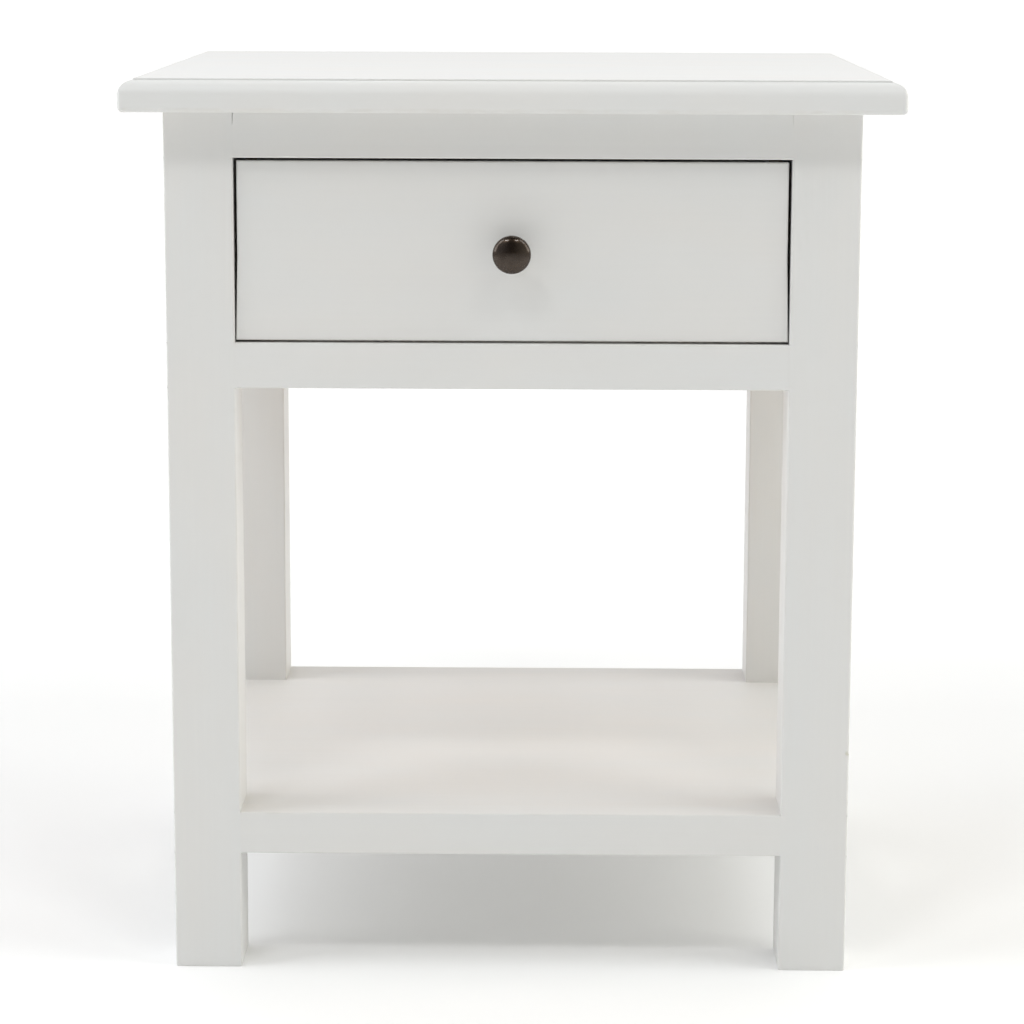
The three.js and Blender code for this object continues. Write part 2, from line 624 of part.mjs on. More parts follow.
/** The screws of the carcass, all but the guides' pointing up. */
function buildScrews() {
  const screws = new THREE.Group();
  forEachCorner((corner, signX, signY) => {
    const x = signX * GUIDE_MIDDLE_X;
    const y = MIDDLE_Y + signY * SCREW_Y;
    const top = add(screws, `top_screw_${corner}`, screwGeometry(TOP_SCREW_LENGTH, SCREW_POINT), STEEL);
    top.position.set(x, y, OPENING_TOP + TOP_SCREW_COUNTERBORE);
    const runner = add(
      screws, `runner_screw_${corner}`, screwGeometry(RUNNER_SCREW_LENGTH, SCREW_POINT), STEEL,
    );
    runner.position.set(x, y, OPENING_BOTTOM - RUNNER_HEIGHT);
    const guide = add(screws, `guide_screw_${corner}`, screwGeometry(GUIDE_SCREW_LENGTH, SCREW_POINT), STEEL);
    guide.rotation.y = (signX * Math.PI) / 2;
    const guideY = MIDDLE_Y + signY * GUIDE_SCREW_Y;
    guide.position.set(signX * (GUIDE_X + GUIDE_SCREW_COUNTERBORE), guideY, guideScrewHeight());
  });
  shelfScrewPlaces().forEach(({ corner, x, y }) => {
    const screw = add(screws, `shelf_screw_${corner}`, screwGeometry(SHELF_SCREW_LENGTH, SCREW_POINT), STEEL);
    screw.position.set(x, y, CLEAT_BOTTOM);
  });
  return screws;
}

const table = new THREE.Group();
table.add(buildCarcass(), buildScrews(), buildDrawer());

export default table;
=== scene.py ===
"""A white painted side table with one drawer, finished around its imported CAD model."""

import math
import random

import bmesh
import bpy
from mathutils import Matrix, Vector


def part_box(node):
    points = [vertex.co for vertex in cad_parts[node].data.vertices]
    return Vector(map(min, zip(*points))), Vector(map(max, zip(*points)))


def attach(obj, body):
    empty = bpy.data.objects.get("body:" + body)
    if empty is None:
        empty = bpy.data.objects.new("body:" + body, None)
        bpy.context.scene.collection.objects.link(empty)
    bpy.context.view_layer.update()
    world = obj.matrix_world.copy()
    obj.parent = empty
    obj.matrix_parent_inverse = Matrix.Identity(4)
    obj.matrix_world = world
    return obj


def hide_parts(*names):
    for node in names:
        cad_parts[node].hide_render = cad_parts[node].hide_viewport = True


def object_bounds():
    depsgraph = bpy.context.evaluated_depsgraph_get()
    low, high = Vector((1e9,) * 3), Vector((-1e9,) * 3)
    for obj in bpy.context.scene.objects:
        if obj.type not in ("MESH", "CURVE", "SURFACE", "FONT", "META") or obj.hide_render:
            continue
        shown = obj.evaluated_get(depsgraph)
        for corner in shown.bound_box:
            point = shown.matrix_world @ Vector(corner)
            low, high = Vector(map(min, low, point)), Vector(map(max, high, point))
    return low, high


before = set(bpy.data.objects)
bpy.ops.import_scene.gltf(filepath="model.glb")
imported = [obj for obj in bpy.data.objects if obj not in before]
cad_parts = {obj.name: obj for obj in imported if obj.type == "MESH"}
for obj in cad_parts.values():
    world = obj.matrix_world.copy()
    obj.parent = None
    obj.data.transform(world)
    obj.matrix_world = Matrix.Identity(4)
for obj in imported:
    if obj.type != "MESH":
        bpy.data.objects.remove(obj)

CAD_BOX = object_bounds()
MM = 0.001
ENDS = ("front", "back")
SIDES = ("left", "right")

# ---------------------------------------------------------------- Finish dimensions

MERGE = 0.01 * MM
LEG_ARRIS = 1.4 * MM  # radius sanded on a leg's corners
FOOT_ARRIS = 1.6 * MM
ARRIS_STOP = 0.3 * MM  # how far the end of a leg's rounding runs on beside a rail
ARRIS_CUT = 1.7 * MM  # how far from the corner that end reaches
RAIL_ARRIS = 1.1 * MM
JOINT_LINE = 0.06 * MM  # the fine line in the paint where a rail meets a leg
SHELF_ARRIS = 0.08 * MM  # along the seams between the shelf and its rails
PAINT_FILL = 0.27 * MM  # how far the paint fills those seams
DRAWER_ARRIS = 1.2 * MM
DRAWER_FLARE = 1.35 * MM  # how far each side of the drawer front has swollen at its foot
DRAWER_FLARE_HEIGHT = 54 * MM
DRAWER_SAG = 0.5 * MM  # how far its lower edge has swollen downwards
HIDDEN_ARRIS = 0.5 * MM  # on the unpainted boards
ARRIS_STEPS = 3

MOULDING_RADIUS = 9.5 * MM  # the same moulding as the CAD model's
MOULDING_STEP = 1.2 * MM
LOWER_EDGE_RADIUS = 3.5 * MM
TOP_CORNER_RADIUS = 2.5 * MM  # in plan, at the board's outline
LEAST_CORNER_RADIUS = 0.25 * MM  # in plan, further in
PAINT_RADIUS = 0.35 * MM  # the paint rounds every sharp edge of the moulding
LOWER_EDGE_STEPS = 6  # facets in its arc
PAINT_STEPS = 4

CRACK_WIDTH = {"left": 0.6 * MM, "right": 0.2 * MM}  # the front top rail's opened shoulders
CRACK_HEIGHT = 8 * MM
CRACK_END = 0.4  # the width left at a crack's foot, as a share
NICK_HEIGHT = 151 * MM  # of the small dent in the right front leg's outer arris
NICK_LENGTH = 3.2 * MM
NICK_DEPTH = 0.9 * MM
NICK_REACH = 3 * MM  # from the corner, along each face
NICK_LEVELS = (1, 0.75, 0.5, 0.25, 0.1, 0, -0.3)  # cuts round it, as shares of its length
# how dark the painted shade in the dent is, at its foot
NICK_SHADE = 0.8

SCREW_HEAD_HEIGHT = 2.6 * MM
SCREW_SHANK = 2 * MM  # in radius, over the thread
THREAD_PITCH = 1.7 * MM
THREAD_DEPTH = 0.55 * MM

# ---------------------------------------------------------------- Meshes

rng = random.Random(20)
GRAIN_ORDER = {"x": (0, 1, 2), "y": (1, 2, 0), "z": (2, 0, 1)}


def copied(node):
    """The CAD node's solid with its corners merged and one face for each flat side."""
    bm = bmesh.new()
    bm.from_mesh(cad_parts[node].data)
    bmesh.ops.remove_doubles(bm, verts=bm.verts, dist=MERGE)
    bmesh.ops.dissolve_limit(bm, angle_limit=math.radians(1), verts=bm.verts, edges=bm.edges)
    return bm


def along(edge, axis):
    """Whether an edge runs along an axis, given by its number."""
    direction = (edge.verts[0].co - edge.verts[1].co).normalized()
    return abs(direction[axis]) > 0.999


def middle(edge):
    return (edge.verts[0].co + edge.verts[1].co) / 2


def is_arris(edge, shortest=3 * MM):
    """Whether an edge is a sharp outer edge, and not part of a drilled hole."""
    if len(edge.link_faces) != 2 or edge.calc_length() < shortest:
        return False
    return edge.calc_face_angle_signed() > math.radians(50)


def cut_level(bm, height):
    """Cuts every face where it passes a height, and leaves the solid whole."""
    bmesh.ops.bisect_plane(
        bm, geom=bm.verts[:] + bm.edges[:] + bm.faces[:], dist=MERGE,
        plane_co=(0, 0, height), plane_no=(0, 0, 1),
    )


def cut_band(bm, foot, head, number, place):
    """Cuts only the faces between two heights, where they cross a place along an axis."""
    band = [face for face in bm.faces if foot < face.calc_center_median().z < head]
    items = dict.fromkeys(item for face in band for item in (face, *face.edges, *face.verts))
    normal = Vector([1 if index == number else 0 for index in range(3)])
    bmesh.ops.bisect_plane(bm, geom=list(items), dist=MERGE, plane_co=place * normal, plane_no=normal)


def ease(bm, radius, chosen, steps=ARRIS_STEPS, shortest=3 * MM):
    """Rounds the arrises that chosen(edge) picks, and marks the rounded faces."""
    eased = bm.faces.layers.int.get("eased") or bm.faces.layers.int.new("eased")
    edges = [edge for edge in bm.edges if is_arris(edge, shortest) and chosen(edge)]
    if not edges:
        return
    made = bmesh.ops.bevel(
        bm, geom=edges, offset=radius, offset_type="OFFSET", segments=steps, profile=0.5,
        affect="EDGES", clamp_overlap=True, material=-1,
    )
    for face in made["faces"]:
        face[eased] = 1


def mark(bm, strength):
    """Stores how much painted shade darkens each vertex, from strength(vert), where it is above 0."""
    painted_shade = bm.verts.layers.float.get("painted_shade") or bm.verts.layers.float.new("painted_shade")
    for vert in bm.verts:
        vert[painted_shade] = max(vert[painted_shade], strength(vert))


def add_finish_data(bm, mesh, axis):
    """Writes each point's place along the grain, and 1 in the middle of a rounded arris."""
    eased = bm.faces.layers.int.get("eased")
    worn = []
    for vert in bm.verts:
        on_arris = eased is not None and all(face[eased] for face in vert.link_faces)
        worn.append(1.0 if on_arris else 0.0)
    start = Vector((rng.uniform(0, 10), rng.uniform(-0.05, 0.05), rng.uniform(-0.05, 0.05)))
    order = GRAIN_ORDER[axis]
    places = [start + Vector([vert.co[i] for i in order]) for vert in bm.verts]
    grain = mesh.attributes.new("grain", "FLOAT_VECTOR", "POINT")
    grain.data.foreach_set("vector", [value for place in places for value in place])
    arris = mesh.attributes.new("arris", "FLOAT", "POINT")
    arris.data.foreach_set("value", worn)


def piece(bm, node, body, material, axis, smooth_angle=40):
    """Turns a bmesh into the finished piece that stands for a CAD node."""
    bmesh.ops.recalc_face_normals(bm, faces=bm.faces)
    for face in bm.faces:
        face.smooth = True
    bm.verts.index_update()
    mesh = bpy.data.meshes.new(node + "_finished")
    bm.to_mesh(mesh)
    add_finish_data(bm, mesh, axis)
    bm.free()
    mesh.set_sharp_from_angle(angle=math.radians(smooth_angle))
    mesh.materials.append(material)
    obj = bpy.data.objects.new(node + "_finished", mesh)
    bpy.context.scene.collection.objects.link(obj)
    shading = obj.modifiers.new("flat faces stay flat", "WEIGHTED_NORMAL")
    shading.keep_sharp = True
    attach(obj, body)
    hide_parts(node)
    return obj


# ---------------------------------------------------------------- Materials


def node_helpers(tree):
    """Two functions for a node tree, which add a node and link two sockets."""

    def add(kind, **values):
        node = tree.nodes.new(kind)
        for key, value in values.items():
            setattr(node, key, value)
        return node

    return add, tree.links.new


def new_material(name):
    """A material, its shader and its tree's helpers."""
    material = bpy.data.materials.new(name)
    material.use_nodes = True
    return material, material.node_tree.nodes["Principled BSDF"], *node_helpers(material.node_tree)


def grain_noise(add, link, stretch, scale=1.0, detail=3.0, roughness=0.5, distortion=0.0):
    """Noise over the piece, stretched along its grain by the three factors."""
    place = add("ShaderNodeAttribute", attribute_name="grain")
    mapping = add("ShaderNodeMapping")
    mapping.inputs["Scale"].default_value = stretch
    noise = add("ShaderNodeTexNoise")
    noise.inputs["Scale"].default_value = scale
    noise.inputs["Detail"].default_value = detail
    noise.inputs["Roughness"].default_value = roughness
    noise.inputs["Distortion"].default_value = distortion
    link(place.outputs["Vector"], mapping.inputs["Vector"])
    link(mapping.outputs["Vector"], noise.inputs["Vector"])
    return noise.outputs["Fac"]


def ramp(add, link, value, low, high, out_low=0.0, out_high=1.0):
    """The value mapped from one range to another, and kept inside it."""
    node = add("ShaderNodeMapRange")
    node.inputs["From Min"].default_value = low
    node.inputs["From Max"].default_value = high
    node.inputs["To Min"].default_value = out_low
    node.inputs["To Max"].default_value = out_high
    link(value, node.inputs["Value"])
    return node.outputs["Result"]


def mixed(add, link, factor, first, second):
    """Two colours mixed by a factor. Each is a colour or a socket."""
    node = add("ShaderNodeMix", data_type="RGBA")
    link(factor, node.inputs["Factor"])
    for socket, colour in (("A", first), ("B", second)):
        target = [s for s in node.inputs if s.name == socket and s.type == "RGBA"][0]
        if isinstance(colour, tuple):
            target.default_value = (*colour, 1)
        else:
            link(colour, target)
    return [s for s in node.outputs if s.type == "RGBA"][0]


def calculated(add, link, operation, *values):
    """The result of a Math node's operation on its values, each a number or a socket."""
    node = add("ShaderNodeMath", operation=operation)
    for socket, value in zip(node.inputs, values):
        if isinstance(value, (int, float)):
            socket.default_value = value
        else:
            link(value, socket)
    return node.outputs["Value"]


def relief(add, link, shader, height, depth, strength=1.0):
    """Bumps the surface by a height from 0 to 1 that stands for the depth in metres."""
    bump = add("ShaderNodeBump")
    bump.inputs["Strength"].default_value = strength
    bump.inputs["Distance"].default_value = depth
    link(height, bump.inputs["Height"])
    link(bump.outputs["Normal"], shader.inputs["Normal"])


def white_paint():
    """Brushed off-white satin paint: faint strokes and grain, a thinner coat on the arrises, and
    painted shade where a piece marks it.
    """
    material, shader, add, link = new_material("white_paint")
    patches = grain_noise(add, link, (9, 22, 22), detail=2)
    tone = mixed(add, link, ramp(add, link, patches, 0.3, 0.7), PAINT_COOL, PAINT_WARM)
    strokes = grain_noise(add, link, (7, 330, 330), detail=4, roughness=0.6)
    fibres = grain_noise(add, link, (30, 1500, 1500), detail=2, roughness=0.6)
    streaked = mixed(add, link, ramp(add, link, strokes, 0.25, 0.8, 0.0, 0.5), tone, PAINT_STREAK)

    arris = add("ShaderNodeAttribute", attribute_name="arris").outputs["Fac"]
    broken = ramp(add, link, grain_noise(add, link, (60, 60, 60), detail=4), 0.42, 0.62)
    rub = calculated(add, link, "MULTIPLY", arris, broken)
    rubbed = calculated(add, link, "MULTIPLY", rub, PAINT_RUB)
    rubbed_tone = mixed(add, link, rubbed, streaked, PAINT_THIN)
    # painted shade where a piece marks its vertices, as in the dent on a leg
    painted_shade = add("ShaderNodeAttribute", attribute_name="painted_shade").outputs["Fac"]
    link(mixed(add, link, painted_shade, rubbed_tone, PAINT_SHADE), shader.inputs["Base Color"])
    link(ramp(add, link, strokes, 0.2, 0.8, 0.38, 0.5), shader.inputs["Roughness"])
    height = calculated(add, link, "MULTIPLY_ADD", fibres, 0.35, strokes)
    relief(add, link, shader, height, 0.12 * MM, 0.5)
    shader.inputs["IOR"].default_value = 1.48
    return material


PAINT_COOL = (0.772, 0.777, 0.766)
PAINT_WARM = (0.785, 0.776, 0.753)
PAINT_STREAK = (0.765, 0.760, 0.742)
PAINT_THIN = (0.70, 0.675, 0.625)
PAINT_RUB = 0.3  # how far the arrises go towards the thin paint
# the colour of the painted shade in the dent on a leg
PAINT_SHADE = (0.53, 0.51, 0.42)


WAVE_PERIOD = math.tau / 20  # how often Blender's wave texture repeats at a scale of 1


def wood(name, pale, dark, ring_gap, roughness):
    """Planed softwood: growth rings round a pith, fine fibres and darker flecks."""
    material, shader, add, link = new_material(name)
    place = add("ShaderNodeAttribute", attribute_name="grain")
    mapping = add("ShaderNodeMapping")
    mapping.inputs["Scale"].default_value = (0.12, 1, 1)
    link(place.outputs["Vector"], mapping.inputs["Vector"])
    rings = add("ShaderNodeTexWave", wave_type="RINGS", rings_direction="X", wave_profile="SAW")
    rings.inputs["Scale"].default_value = WAVE_PERIOD / ring_gap
    rings.inputs["Distortion"].default_value = 5
    rings.inputs["Detail"].default_value = 3
    rings.inputs["Detail Scale"].default_value = 0.12
    link(mapping.outputs["Vector"], rings.inputs["Vector"])
    fibres = grain_noise(add, link, (25, 1300, 1300), detail=3, roughness=0.65)
    flecks = ramp(add, link, grain_noise(add, link, (90, 2600, 2600), detail=2), 0.62, 0.74)
    late = ramp(add, link, rings.outputs["Fac"], 0.45, 1.0)
    colour = mixed(add, link, late, pale, dark)
    streaked = mixed(add, link, ramp(add, link, fibres, 0.35, 0.8, 0, 0.5), colour, dark)
    darkest = tuple(0.45 * channel for channel in dark)
    half = calculated(add, link, "MULTIPLY", flecks, 0.6)
    link(mixed(add, link, half, streaked, darkest), shader.inputs["Base Color"])
    rough = ramp(add, link, fibres, 0.2, 0.8, roughness - 0.08, roughness + 0.1)
    link(rough, shader.inputs["Roughness"])
    height = calculated(add, link, "MULTIPLY_ADD", late, 0.4, fibres)
    relief(add, link, shader, height, 0.15 * MM, 0.6)
    return material


def plywood():
    """The thin panel: a broad, pale face veneer, with its three layers showing at the edges."""
    material, shader, add, link = new_material("plywood")
    figure = grain_noise(add, link, (3, 38, 38), detail=3, distortion=1.2)
    fibres = grain_noise(add, link, (20, 1500, 1500), detail=3, roughness=0.65)
    face = mixed(add, link, ramp(add, link, figure, 0.35, 0.7), PLY_PALE, PLY_DARK)
    streaked = mixed(add, link, ramp(add, link, fibres, 0.4, 0.85, 0, 0.55), face, PLY_FIBRE)
    place = add("ShaderNodeAttribute", attribute_name="ply")
    layer = ramp(add, link, place.outputs["Fac"], 0.0, 1.0)
    link(mixed(add, link, layer, streaked, PLY_CORE), shader.inputs["Base Color"])
    link(ramp(add, link, fibres, 0.2, 0.8, 0.6, 0.78), shader.inputs["Roughness"])
    relief(add, link, shader, fibres, 0.1 * MM, 0.5)
    return material


PLY_PALE = (0.58, 0.43, 0.28)
PLY_DARK = (0.48, 0.33, 0.20)
PLY_FIBRE = (0.36, 0.24, 0.14)
PLY_CORE = (0.30, 0.19, 0.11)


def bronze():
    """Dark lacquered bronze, a little brighter where hands rub it."""
    material, shader, add, link = new_material("bronze")
    clouds = grain_noise(add, link, (140, 140, 140), detail=5, roughness=0.6)
    specks = grain_noise(add, link, (900, 900, 900), detail=3, roughness=0.6)
    patina = mixed(add, link, ramp(add, link, clouds, 0.35, 0.7), BRONZE_DARK, BRONZE_BROWN)
    arris = add("ShaderNodeAttribute", attribute_name="arris").outputs["Fac"]
    rub = calculated(add, link, "MULTIPLY", arris, ramp(add, link, specks, 0.3, 0.6, 0.2, 0.8))
    link(mixed(add, link, rub, patina, BRONZE_BRIGHT), shader.inputs["Base Color"])
    link(ramp(add, link, specks, 0.3, 0.75, 0.24, 0.34), shader.inputs["Roughness"])
    shader.inputs["Metallic"].default_value = 1
    shader.inputs["Coat Weight"].default_value = 0.65
    shader.inputs["Coat Roughness"].default_value = 0.09
    relief(add, link, shader, clouds, 0.04 * MM, 0.3)
    return material


BRONZE_DARK = (0.034, 0.022, 0.014)
BRONZE_BROWN = (0.056, 0.040, 0.028)
BRONZE_BRIGHT = (0.11, 0.078, 0.052)


def zinc_steel():
    """Zinc-plated steel: a dull grey with fine mottling."""
    material, shader, add, link = new_material("zinc_steel")
    mottle = grain_noise(add, link, (600, 600, 600), detail=4, roughness=0.7)
    tone = ramp(add, link, mottle, 0.3, 0.75)
    link(mixed(add, link, tone, ZINC_DARK, ZINC_PALE), shader.inputs["Base Color"])
    link(ramp(add, link, mottle, 0.3, 0.8, 0.28, 0.5), shader.inputs["Roughness"])
    shader.inputs["Metallic"].default_value = 1
    relief(add, link, shader, mottle, 0.05 * MM, 0.4)
    return material


ZINC_DARK, ZINC_PALE = (0.42, 0.42, 0.40), (0.62, 0.62, 0.59)

RUNNER_PALE, RUNNER_DARK = (0.56, 0.39, 0.23), (0.40, 0.25, 0.13)
DRAWER_PALE, DRAWER_DARK = (0.64, 0.48, 0.31), (0.48, 0.32, 0.19)

WHITE = white_paint()
RUNNER_WOOD = wood("runner_wood", RUNNER_PALE, RUNNER_DARK, ring_gap=3.6 * MM, roughness=0.72)
DRAWER_WOOD = wood("drawer_wood", DRAWER_PALE, DRAWER_DARK, ring_gap=4.6 * MM, roughness=0.66)
PLYWOOD = plywood()
BRONZE = bronze()
STEEL = zinc_steel()

# ---------------------------------------------------------------- Legs and rails

RAILS = {
    "front": ["front_top_rail", "drawer_rail", "shelf_rail_front"],
    "back": ["back_apron", "shelf_rail_back"],
    "left": ["side_apron_left", "shelf_rail_left"],
    "right": ["side_apron_right", "shelf_rail_right"],
}
INNER_X, FRONT_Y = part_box("leg_front_right")[0].xy  # of the legs' inner and front faces


def taken(rails):
    """The heights where rails lie flush with a leg."""
    return [(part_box(rail)[0].z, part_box(rail)[1].z) for rail in rails]


def is_free(height, spans):
    return not any(low < height < high for low, high in spans)


def finish_leg(end, side):
    """A leg with its corners rounded, but left square where a rail meets it flush."""
    node = f"leg_{end}_{side}"
    low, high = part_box(node)
    along_x, along_y = taken(RAILS[end]), taken(RAILS[side])
    outer_x, inner_x = (low.x, high.x) if side == "left" else (high.x, low.x)
    outer_y, inner_y = (low.y, high.y) if end == "front" else (high.y, low.y)
    bm = copied(node)
    levels = set()
    for foot, head in along_x + along_y:
        levels |= {foot, foot + ARRIS_STOP, head - ARRIS_STOP, head}
    for height in sorted(levels - {high.z}):
        cut_level(bm, height)
    for foot, head in along_x + along_y:
        for number in (0, 1):
            for place in (low[number] + ARRIS_CUT, high[number] - ARRIS_CUT):
                cut_band(bm, foot, foot + ARRIS_STOP, number, place)
                cut_band(bm, head - ARRIS_STOP, head, number, place)
    corners = {  # where each upright corner is, and the heights where rails take it
        (outer_x, outer_y): [],
        (inner_x, outer_y): along_x,
        (outer_x, inner_y): along_y,
        (inner_x, inner_y): along_x + along_y,
    }

    def free_corner(edge):
        place = middle(edge)
        for (x, y), spans in corners.items():
            if along(edge, 2) and abs(place.x - x) < MERGE and abs(place.y - y) < MERGE:
                return is_free(place.z, spans)
        return False

    ease(bm, LEG_ARRIS, free_corner)
    ease(bm, FOOT_ARRIS, lambda edge: middle(edge).z < low.z + MERGE, shortest=0.1 * MM)
    if node == "leg_front_right":
        nick(bm, Vector((outer_x, outer_y, NICK_HEIGHT)))
    piece(bm, node, "carcass", WHITE, "z")


def nick(bm, place):
    """A small dent in an upright arris, sloping in from above and cut off short below, darkened with
    painted shade towards its foot.
    """
    levels = [place.z + share * NICK_LENGTH for share in NICK_LEVELS]
    for height in levels:
        cut_level(bm, height)
    for number in (0, 1):
        for reach in (1.1 * LEG_ARRIS, NICK_REACH):
            cut = place[number] - math.copysign(reach, place[number])
            cut_band(bm, levels[-1], levels[0], number, cut)

    def shares(vert):
        """How far up the dent a vertex is, and how far inside its reach."""
        height = (vert.co.z - place.z) / NICK_LENGTH
        return height, 1 - (vert.co - place).xy.length / NICK_REACH

    for vert in bm.verts:
        height, inside = shares(vert)
        if inside > 0 and 0.05 < height < 0.95:
            depth = NICK_DEPTH * (1 - height) * min(1, 2 * inside)
            vert.co.x -= math.copysign(depth, place.x)
            vert.co.y -= math.copysign(depth, place.y)

    # painted shade in the dent, darkest at its deep foot
    def painted_shade(vert):
        height, inside = shares(vert)
        if inside < 0.02 or not -0.01 < height < 1:
            return 0
        return NICK_SHADE * (1 - height) * min(1, 3 * inside)

    mark(bm, painted_shade)


def finish_rail(node, axis):
    """A rail with its long edges rounded, and a fine line at each shoulder."""
    number = "xy".index(axis)
    across = 1 - number
    low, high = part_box(node)
    outer = high[across] if abs(high[across]) > abs(low[across]) else low[across]
    bm = copied(node)

    def at_side(edge):
        return min(abs(middle(edge)[across] - side[across]) for side in (low, high)) < MERGE

    def at_shelf(edge):
        at_top = abs(middle(edge).z - high.z) < MERGE
        return node.startswith("shelf") and at_top and abs(middle(edge)[across] - outer) > MERGE

    def at_shoulder(edge):
        return along(edge, 2) and abs(middle(edge)[across] - outer) < MERGE

    if node == "front_top_rail":
        open_shoulders(bm, node)
    ease(bm, RAIL_ARRIS, lambda edge: along(edge, number) and at_side(edge) and not at_shelf(edge))
    ease(bm, SHELF_ARRIS, lambda edge: along(edge, number) and at_side(edge) and at_shelf(edge))
    ease(bm, JOINT_LINE, at_shoulder, steps=1)
    piece(bm, node, "carcass", WHITE, axis)


def open_shoulders(bm, node):
    """Tapers the rail's front corners back from the legs, as joints that have begun to open."""
    low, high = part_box(node)
    foot = high.z - CRACK_HEIGHT
    cut_level(bm, foot)
    cut_level(bm, foot - CRACK_HEIGHT / 8)  # the crack closes between these two levels
    for vert in bm.verts:
        at_shoulder = abs(abs(vert.co.x) - INNER_X) < MERGE and vert.co.y < low.y + MERGE
        if at_shoulder and vert.co.z > foot - MERGE:
            width = CRACK_WIDTH["left" if vert.co.x < 0 else "right"]
            share = CRACK_END if vert.co.z < high.z - MERGE else 1
            vert.co.x -= math.copysign(share * width, vert.co.x)


# ---------------------------------------------------------------- Top board


def rounded_rectangle(half_x, half_y, radius, steps=6):
    """The outline's [x, y] points, anticlockwise, with the same number at any radius."""
    points = []
    for quarter, (sign_x, sign_y) in enumerate([(1, 1), (-1, 1), (-1, -1), (1, -1)]):
        for step in range(steps + 1):
            angle = (quarter + step / steps) * math.pi / 2
            x = sign_x * (half_x - radius) + radius * math.cos(angle)
            y = sign_y * (half_y - radius) + radius * math.sin(angle)
            points.append((x, y))
    return points


def arc(centre, radius, start, end, steps):
    """Points of an arc in section, as (inset, height), from one angle to another."""
    inset, height = centre
    angles = [math.radians(start + (end - start) * step / steps) for step in range(steps + 1)]
    return [(inset - radius * math.cos(a), height + radius * math.sin(a)) for a in angles]


def top_board_section(thickness):
    """The edge in section, from the underside up to the flat, as (inset, height)."""
    lower, upper, soft = LOWER_EDGE_RADIUS, MOULDING_RADIUS, PAINT_RADIUS
    round_top = thickness - MOULDING_STEP
    section = [(2 * lower, 0)]
    section += arc((lower, lower), lower, -90, 0, LOWER_EDGE_STEPS)
    section += arc((upper, round_top - upper), upper, 0, 84, 12)
    section += [(upper - 0.2 * soft, round_top + 0.1 * soft)]
    section += arc((upper + soft, thickness - soft), soft, 0, 90, PAINT_STEPS)
    section += [(upper + 3 * soft, thickness)]
    return section


def finish_top_board():
    """The board as rings of its moulded edge, closed by the two flats."""
    low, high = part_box("top_board")
    centre, size = (low + high) / 2, high - low
    bm = bmesh.new()
    eased = bm.faces.layers.int.new("eased")
    section = top_board_section(size.z)
    rings = []
    for inset, height in section:
        radius = max(TOP_CORNER_RADIUS - inset, LEAST_CORNER_RADIUS)
        outline = rounded_rectangle(size.x / 2 - inset, size.y / 2 - inset, radius)
        rings.append([bm.verts.new((centre.x + x, centre.y + y, low.z + height)) for x, y in outline])
    lower_edge = range(1, LOWER_EDGE_STEPS + 1)
    upper_arris = range(len(rings) - PAINT_STEPS - 2, len(rings))
    for level, (lower, upper) in enumerate(zip(rings, rings[1:])):
        count = len(lower)
        for index in range(count):
            after = (index + 1) % count
            face = bm.faces.new((lower[index], lower[after], upper[after], upper[index]))
            face[eased] = 1 if level in lower_edge or level in upper_arris else 0
    bm.faces.new(list(reversed(rings[0])))
    bm.faces.new(rings[-1])
    piece(bm, "top_board", "carcass", WHITE, "x", smooth_angle=50)


# ---------------------------------------------------------------- Boards


def finish_board(node, body, material, axis):
    """A hidden board with all its arrises rounded."""
    bm = copied(node)
    ease(bm, HIDDEN_ARRIS, lambda edge: True)
    piece(bm, node, body, material, axis)


def finish_shelf():
    """The shelf, with the paint that all but fills the seams round it."""
    low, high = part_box("shelf_board")
    centre = (low + high) / 2
    bm = copied("shelf_board")
    outline = {
        vert for edge in bm.edges for vert in edge.verts
        if along(edge, 2) and edge.calc_length() > high.z - low.z - MERGE
    }
    for vert in outline:
        vert.co.x += math.copysign(PAINT_FILL, vert.co.x - centre.x)
        vert.co.y += math.copysign(PAINT_FILL, vert.co.y - centre.y)
    ease(bm, SHELF_ARRIS, lambda edge: middle(edge).z > high.z - MERGE)
    piece(bm, "shelf_board", "carcass", WHITE, "x")


def finish_drawer_front():
    """The drawer front, swollen a little at its foot, with its outer face's edges rounded."""
    low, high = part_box("drawer_front")
    face = low.y
    bm = copied("drawer_front")
    cut_level(bm, low.z + DRAWER_FLARE_HEIGHT)
    for vert in bm.verts:
        if abs(abs(vert.co.x) - high.x) < MERGE:
            share = max(0, 1 - (vert.co.z - low.z) / DRAWER_FLARE_HEIGHT)
            vert.co.x += math.copysign(share * DRAWER_FLARE, vert.co.x)
        if vert.co.z < low.z + MERGE:
            vert.co.z -= DRAWER_SAG
    ease(bm, DRAWER_ARRIS, lambda edge: middle(edge).y < face + MERGE, steps=4)
    piece(bm, "drawer_front", "drawer", WHITE, "x")


def finish_drawer_bottom():
    """The thin panel, cut into its layers at the edges."""
    low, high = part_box("drawer_bottom")
    bm = copied("drawer_bottom")
    thickness = high.z - low.z
    for share in (0.28, 0.34, 0.66, 0.72):
        cut_level(bm, low.z + share * thickness)
    obj = piece(bm, "drawer_bottom", "drawer", PLYWOOD, "y")
    core = obj.data.attributes.new("ply", "FLOAT", "POINT")
    for vert, value in zip(obj.data.vertices, core.data):
        share = (vert.co.z - low.z) / thickness
        value.value = 1.0 if 0.31 < share < 0.69 else 0.0


# ---------------------------------------------------------------- Turned and threaded pieces


def circle(bm, radius, height, segments):
    """New vertices round the Z axis, anticlockwise."""
    angles = [math.tau * index / segments for index in range(segments)]
    return [bm.verts.new((radius * math.cos(a), radius * math.sin(a), height)) for a in angles]


